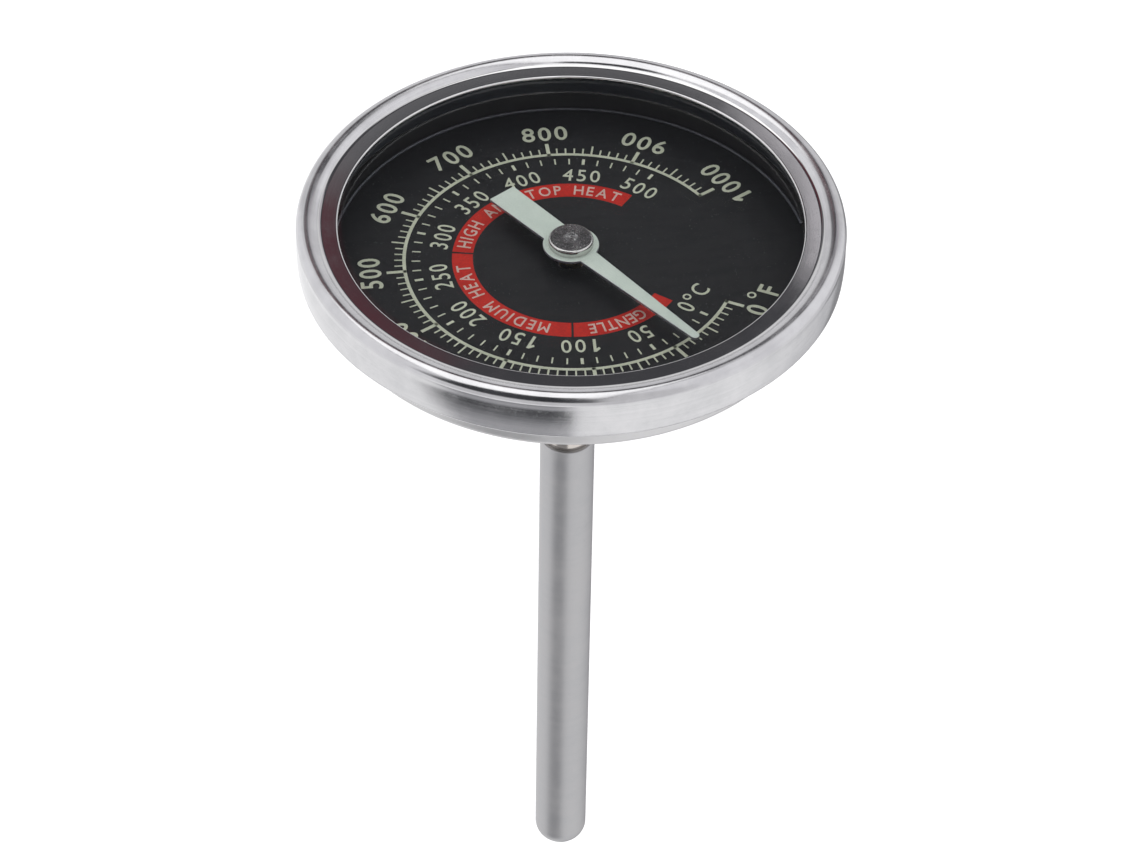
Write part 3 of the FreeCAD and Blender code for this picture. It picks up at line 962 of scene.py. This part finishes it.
def rear_cards(graph, glow, elevation, from_back, aside, beyond):
    """What the flat ring and the window mirror: dark cards, a wine-red one and a lamp's edge."""
    run = graph.math("SUBTRACT", beyond, WINDOW_CARD_SLOPE)
    spread = graph.add("ShaderNodeCombineXYZ", {0: aside, 1: run, 2: 0.0}).outputs[0]
    spread = graph.add("ShaderNodeVectorMath", {0: spread}, operation="LENGTH").outputs["Value"]
    past_window = graph.ease(spread, WINDOW_CARD * 0.985, WINDOW_CARD)

    tone = graph.mix(graph.ease(elevation, 39.4, 40.6), LOW_CARD_TONE, HIGH_CARD_TONE)
    left_card = graph.math("MULTIPLY", graph.ease(from_back, -2.2, -2.5), graph.ease(elevation, 38.5, 39.5))
    tone = graph.mix(left_card, tone, WINE_CARD_TONE)
    lamp_edge = graph.math("MULTIPLY", graph.ease(from_back, 2.8, 3.0), graph.ease(elevation, 40.3, 40.1))
    tone = graph.mix(lamp_edge, tone, LAMP_EDGE_TONE)
    tone = graph.mix(past_window, WINDOW_CARD_TONE, tone)
    across = graph.ease(graph.math("ABSOLUTE", from_back), 30, 24)
    share = graph.math("MULTIPLY", graph.window(elevation, 34, 50, 3), across)
    return graph.mix(share, glow, tone)


def ceiling_lamp(graph, glow, aside, beyond):
    """A large softbox overhead, a little to the left, in a grey frame."""
    frame_edge = graph.math(
        "MULTIPLY", graph.window(aside, -0.61, 0.20, 0.03), graph.window(beyond, -1.0, 0.88, 0.03))
    glow = graph.mix(frame_edge, glow, LAMP_FRAME_TONE)
    lamp = graph.math(
        "MULTIPLY", graph.window(aside, -0.55, 0.14, 0.03), graph.window(beyond, -0.9, 0.80, 0.04))
    return graph.mix(lamp, glow, LAMP_TONE)


def front_strip(graph, glow, elevation, from_front):
    """The dark upright shape of whoever stands at the camera, in a low and a high part."""
    low = graph.math("MULTIPLY", graph.ease(from_front, -66, -48), graph.ease(from_front, 4, 0))
    low = graph.math("MULTIPLY", low, graph.window(elevation, -60, -32, 6))
    high = graph.math("MULTIPLY", graph.ease(from_front, -66, -54), graph.ease(from_front, 16, 8))
    high = graph.math("MULTIPLY", high, graph.window(elevation, 26, 72, 6))
    tone = graph.mix(graph.ease(elevation, -32, -50), STRIP_TONE, STRIP_FOOT_TONE)
    return graph.mix(graph.math("MAXIMUM", low, high), glow, tone)


def studio_world():
    """Soft surroundings, with cards, for the metal to mirror, and plain pale paper for the camera."""
    world = bpy.data.worlds.new("studio")
    world.use_nodes = True
    bpy.context.scene.world = world
    graph = Graph(world.node_tree)
    graph.nodes.clear()
    direction = graph.add("ShaderNodeTexCoord").outputs["Generated"]
    turned = graph.add(
        "ShaderNodeVectorRotate",
        {"Vector": direction, "Angle": math.radians(-RIGHT_DEG)},
        rotation_type="Z_AXIS").outputs[0]
    right, back, up = graph.add("ShaderNodeSeparateXYZ", {0: turned}).outputs
    elevation = graph.math("DEGREES", graph.math("ARCSINE", up))
    from_back = graph.math("DEGREES", graph.math("ARCTAN2", right, back))
    from_front = graph.math("DEGREES", graph.math("ARCTAN2", right, graph.math("MULTIPLY", back, -1.0)))
    rise = graph.math("MAXIMUM", up, 0.05)
    aside = graph.math("DIVIDE", right, rise)
    beyond = graph.math("DIVIDE", back, rise)

    sides = graph.window(graph.math("ABSOLUTE", from_back), 45, 125, 12)
    glow = graph.mix(sides, BACK_GLOW, SIDE_GLOW)
    glow = rear_cards(graph, glow, elevation, from_back, aside, beyond)
    glow = ceiling_lamp(graph, glow, aside, beyond)
    under = graph.mix(graph.ease(from_front, 70, 150), PAPER_GLOW, FAR_PAPER_GLOW)
    glow = graph.mix(graph.ease(elevation, -4, -12), glow, under)
    panel = graph.math("MULTIPLY", graph.window(from_back, 2, 34, 6), graph.window(elevation, -62, -14, 8))
    glow = graph.mix(panel, glow, PANEL_TONE)
    glow = front_strip(graph, glow, elevation, from_front)

    seen = graph.add("ShaderNodeLightPath").outputs["Is Camera Ray"]
    glow = graph.mix(seen, glow, SEEN_PAPER)
    shader = graph.add("ShaderNodeBackground", {"Color": glow})
    output = graph.add("ShaderNodeOutputWorld")
    graph.links.new(shader.outputs[0], output.inputs["Surface"])


def studio_floor():
    """Plain white floor that glows a little, like lit paper. Metal doesn't mirror its edge."""
    size = FLOOR_HALF
    z = stem_low.z * MM - FLOOR_GAP
    mesh = bpy.data.meshes.new("floor")
    corners = [(-size, -size, z), (size, -size, z), (size, size, z), (-size, size, z)]
    mesh.from_pydata(corners, [], [(0, 1, 2, 3)])
    material, _, shader = new_material("floor_paper", Roughness=0.9)
    shader.inputs["Base Color"].default_value = (0.9, 0.9, 0.9, 1)
    shader.inputs["Emission Color"].default_value = (1, 1, 1, 1)
    shader.inputs["Emission Strength"].default_value = FLOOR_GLOW
    mesh.materials.append(material)
    floor = bpy.data.objects.new("floor", mesh)
    floor.visible_glossy = False
    floor.visible_diffuse = False
    bpy.context.scene.collection.objects.link(floor)


def camera():
    """Looks down at the thermometer from the front, with a slight roll."""
    azimuth = math.radians(RIGHT_DEG)
    rise = math.radians(CAMERA_ELEVATION)
    roll = math.radians(CAMERA_ROLL)
    level = Vector((math.cos(azimuth), math.sin(azimuth), 0))
    run = math.cos(rise)
    ahead = Vector((-math.sin(azimuth) * run, math.cos(azimuth) * run, -math.sin(rise)))
    over = level.cross(ahead)
    right = level * math.cos(roll) - over * math.sin(roll)
    up = level * math.sin(roll) + over * math.cos(roll)
    target = Vector((0, 0, LIP_Z * MM))
    data = bpy.data.cameras.new("camera")
    data.sensor_width = 36
    data.lens = CAMERA_LENS
    data.clip_start = 0.05
    data.clip_end = 20
    made = bpy.data.objects.new("camera", data)
    turn = Matrix((right, up, -ahead)).transposed()
    aim = target - up * CAMERA_DROP - right * CAMERA_LEFT
    made.matrix_world = Matrix.Translation(aim - ahead * CAMERA_DISTANCE) @ turn.to_4x4()
    bpy.context.scene.collection.objects.link(made)
    bpy.context.scene.camera = made


bezel()
case()
gasket()
neck()
stem()
pointer()
cap()
outer_scale()
inner_scale()
outer_numbers()
inner_numbers()
heat_band()
keep_nodes()
studio_world()
studio_floor()
camera()
bpy.context.scene.view_settings.view_transform = "Standard"
